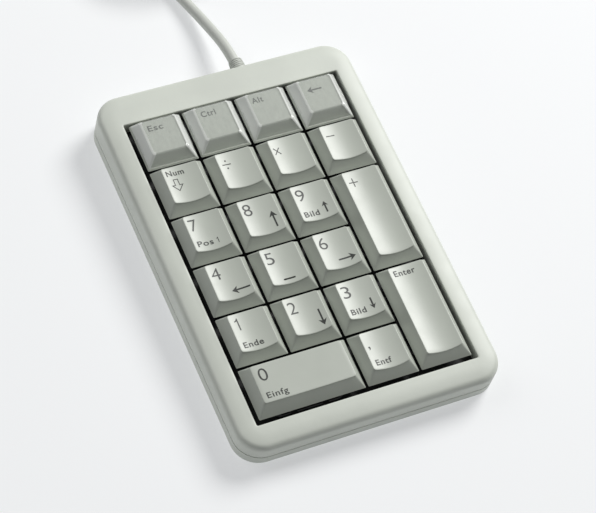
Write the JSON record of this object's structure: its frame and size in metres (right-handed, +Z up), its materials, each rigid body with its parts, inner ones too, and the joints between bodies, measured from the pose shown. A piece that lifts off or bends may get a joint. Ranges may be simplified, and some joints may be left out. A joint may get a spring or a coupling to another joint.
{
  "type": "numeric keypad",
  "caption": "Slim wedge numeric keypad: one-row function keys with clear covers, sprung keys in a framed case, and a captive cable that ends in a USB-A plug.",
  "frame": {"origin": "on the desk, in the plane of the rubber feet's undersides, under the middle of the case's outer box (the cord is left out)", "axes": "+X to the user's right along the short side, +Y away from the user along the long side to the cable's end, +Z up"},
  "size_m": [0.096, 0.263, 0.0173],
  "materials": {
    "case_plastic": "light grey ABS, fine spark-eroded texture",
    "keycap_plastic": "light grey, fine texture, slightly smoother than the case",
    "legend_ink": "dark grey printed legends, laser-marked and slightly raised",
    "clear_plastic": "clear polycarbonate cover, polished",
    "paper": "uncoated printed paper slip",
    "black_sheet": "black powder-coated sheet",
    "board_laminate": "green solder mask on glass-fibre laminate",
    "switch_plastic": "black moulded nylon",
    "wire_steel": "bright spring steel wire",
    "contact_metal": "gold-flashed contact strip",
    "chip_resin": "black moulding resin",
    "can_metal": "nickel-plated can",
    "ceramic": "tan ceramic",
    "header_plastic": "natural nylon",
    "wire_insulation": "coloured PVC insulation",
    "cord_jacket": "light grey flexible PVC jacket",
    "plug_grip": "light grey moulded PVC grip",
    "plug_shell_metal": "nickel-plated folded steel",
    "tongue_plastic": "white insulating plastic",
    "foot_rubber": "dark grey self-adhesive rubber",
    "screw_steel": "zinc-plated screw",
    "black_plastic": "black acetal",
    "label_film": "blank silver-grey film label"
  },
  "bodies": {
    "case": {"top_case": "case_plastic", "bottom_case": "case_plastic", "switch_plate": "black_sheet", "circuit_board": "board_laminate", "switch_bases": "switch_plastic", "switch_lids": "switch_plastic", "switch_springs": "wire_steel", "switch_contacts": "contact_metal", "controller_chip": "chip_resin", "crystal": "can_metal", "board_capacitors": "ceramic", "key_diodes": "chip_resin", "cable_header": "header_plastic", "cable_wires": "wire_insulation", "cable_boot": "cord_jacket", "usb_cable": "cord_jacket", "usb_cable_coil": "cord_jacket", "usb_plug_body": "plug_grip", "usb_plug_shell": "plug_shell_metal", "usb_plug_tongue": "tongue_plastic", "usb_plug_contacts": "contact_metal", "rubber_feet": "foot_rubber", "case_screws": "screw_steel", "board_screws": "screw_steel", "stabiliser_clips": "black_plastic", "rating_label": "label_film"},
    "esc_key": {"key_esc": "keycap_plastic", "clear_cover_esc": "clear_plastic", "paper_legend_esc": "paper"},
    "ctrl_key": {"key_ctrl": "keycap_plastic", "clear_cover_ctrl": "clear_plastic", "paper_legend_ctrl": "paper"},
    "alt_key": {"key_alt": "keycap_plastic", "clear_cover_alt": "clear_plastic", "paper_legend_alt": "paper"},
    "back_key": {"key_back": "keycap_plastic", "clear_cover_back": "clear_plastic", "paper_legend_back": "paper"},
    "num_key": {"key_num": "keycap_plastic"},
    "divide_key": {"key_divide": "keycap_plastic"},
    "multiply_key": {"key_multiply": "keycap_plastic"},
    "minus_key": {"key_minus": "keycap_plastic"},
    "7_key": {"key_7": "keycap_plastic"},
    "8_key": {"key_8": "keycap_plastic"},
    "9_key": {"key_9": "keycap_plastic"},
    "plus_key": {"key_plus": "keycap_plastic"},
    "plus_stabiliser": {"stabiliser_wire_plus": "wire_steel"},
    "4_key": {"key_4": "keycap_plastic"},
    "5_key": {"key_5": "keycap_plastic"},
    "6_key": {"key_6": "keycap_plastic"},
    "1_key": {"key_1": "keycap_plastic"},
    "2_key": {"key_2": "keycap_plastic"},
    "3_key": {"key_3": "keycap_plastic"},
    "enter_key": {"key_enter": "keycap_plastic"},
    "enter_stabiliser": {"stabiliser_wire_enter": "wire_steel"},
    "0_key": {"key_0": "keycap_plastic"},
    "0_stabiliser": {"stabiliser_wire_0": "wire_steel"},
    "comma_key": {"key_comma": "keycap_plastic"}
  },
  "joints": [
    {"name": "press_esc", "type": "slide", "parent": "case", "child": "esc_key", "axis": [0, 0.0215, -0.9998], "range_m": [0, 0.003], "stiffness_N_per_m": 100, "springref_m": -0.003},
    {"name": "press_ctrl", "type": "slide", "parent": "case", "child": "ctrl_key", "axis": [0, 0.0215, -0.9998], "range_m": [0, 0.003], "stiffness_N_per_m": 100, "springref_m": -0.003},
    {"name": "press_alt", "type": "slide", "parent": "case", "child": "alt_key", "axis": [0, 0.0215, -0.9998], "range_m": [0, 0.003], "stiffness_N_per_m": 100, "springref_m": -0.003},
    {"name": "press_back", "type": "slide", "parent": "case", "child": "back_key", "axis": [0, 0.0215, -0.9998], "range_m": [0, 0.003], "stiffness_N_per_m": 100, "springref_m": -0.003},
    {"name": "press_num", "type": "slide", "parent": "case", "child": "num_key", "axis": [0, 0.0215, -0.9998], "range_m": [0, 0.003], "stiffness_N_per_m": 100, "springref_m": -0.003},
    {"name": "press_divide", "type": "slide", "parent": "case", "child": "divide_key", "axis": [0, 0.0215, -0.9998], "range_m": [0, 0.003], "stiffness_N_per_m": 100, "springref_m": -0.003},
    {"name": "press_multiply", "type": "slide", "parent": "case", "child": "multiply_key", "axis": [0, 0.0215, -0.9998], "range_m": [0, 0.003], "stiffness_N_per_m": 100, "springref_m": -0.003},
    {"name": "press_minus", "type": "slide", "parent": "case", "child": "minus_key", "axis": [0, 0.0215, -0.9998], "range_m": [0, 0.003], "stiffness_N_per_m": 100, "springref_m": -0.003},
    {"name": "press_7", "type": "slide", "parent": "case", "child": "7_key", "axis": [0, 0.0215, -0.9998], "range_m": [0, 0.003], "stiffness_N_per_m": 100, "springref_m": -0.003},
    {"name": "press_8", "type": "slide", "parent": "case", "child": "8_key", "axis": [0, 0.0215, -0.9998], "range_m": [0, 0.003], "stiffness_N_per_m": 100, "springref_m": -0.003},
    {"name": "press_9", "type": "slide", "parent": "case", "child": "9_key", "axis": [0, 0.0215, -0.9998], "range_m": [0, 0.003], "stiffness_N_per_m": 100, "springref_m": -0.003},
    {"name": "press_plus", "type": "slide", "parent": "case", "child": "plus_key", "axis": [0, 0.0215, -0.9998], "range_m": [0, 0.003], "stiffness_N_per_m": 100, "springref_m": -0.003},
    {"name": "stabiliser_plus_turn", "type": "hinge", "parent": "case", "child": "plus_stabiliser", "pos_m": [0.02057, -0.00154, 0.008], "axis": [0, 0.9998, 0.0215], "range_deg": [0, 24]},
    {"name": "press_4", "type": "slide", "parent": "case", "child": "4_key", "axis": [0, 0.0215, -0.9998], "range_m": [0, 0.003], "stiffness_N_per_m": 100, "springref_m": -0.003},
    {"name": "press_5", "type": "slide", "parent": "case", "child": "5_key", "axis": [0, 0.0215, -0.9998], "range_m": [0, 0.003], "stiffness_N_per_m": 100, "springref_m": -0.003},
    {"name": "press_6", "type": "slide", "parent": "case", "child": "6_key", "axis": [0, 0.0215, -0.9998], "range_m": [0, 0.003], "stiffness_N_per_m": 100, "springref_m": -0.003},
    {"name": "press_1", "type": "slide", "parent": "case", "child": "1_key", "axis": [0, 0.0215, -0.9998], "range_m": [0, 0.003], "stiffness_N_per_m": 100, "springref_m": -0.003},
    {"name": "press_2", "type": "slide", "parent": "case", "child": "2_key", "axis": [0, 0.0215, -0.9998], "range_m": [0, 0.003], "stiffness_N_per_m": 100, "springref_m": -0.003},
    {"name": "press_3", "type": "slide", "parent": "case", "child": "3_key", "axis": [0, 0.0215, -0.9998], "range_m": [0, 0.003], "stiffness_N_per_m": 100, "springref_m": -0.003},
    {"name": "press_enter", "type": "slide", "parent": "case", "child": "enter_key", "axis": [0, 0.0215, -0.9998], "range_m": [0, 0.003], "stiffness_N_per_m": 100, "springref_m": -0.003},
    {"name": "stabiliser_enter_turn", "type": "hinge", "parent": "case", "child": "enter_stabiliser", "pos_m": [0.02057, -0.03963, 0.00718], "axis": [0, 0.9998, 0.0215], "range_deg": [0, 24]},
    {"name": "press_0", "type": "slide", "parent": "case", "child": "0_key", "axis": [0, 0.0215, -0.9998], "range_m": [0, 0.003], "stiffness_N_per_m": 100, "springref_m": -0.003},
    {"name": "stabiliser_0_turn", "type": "hinge", "parent": "case", "child": "0_stabiliser", "pos_m": [-0.01905, -0.05716, 0.00681], "axis": [-1, 0, 0], "range_deg": [0, 24]},
    {"name": "press_comma", "type": "slide", "parent": "case", "child": "comma_key", "axis": [0, 0.0215, -0.9998], "range_m": [0, 0.003], "stiffness_N_per_m": 100, "springref_m": -0.003}
  ],
  "couplings": [
    {"joint": "stabiliser_plus_turn", "follows": "press_plus", "rad_per_m": 132.8},
    {"joint": "stabiliser_enter_turn", "follows": "press_enter", "rad_per_m": 132.8},
    {"joint": "stabiliser_0_turn", "follows": "press_0", "rad_per_m": 132.8}
  ]
}
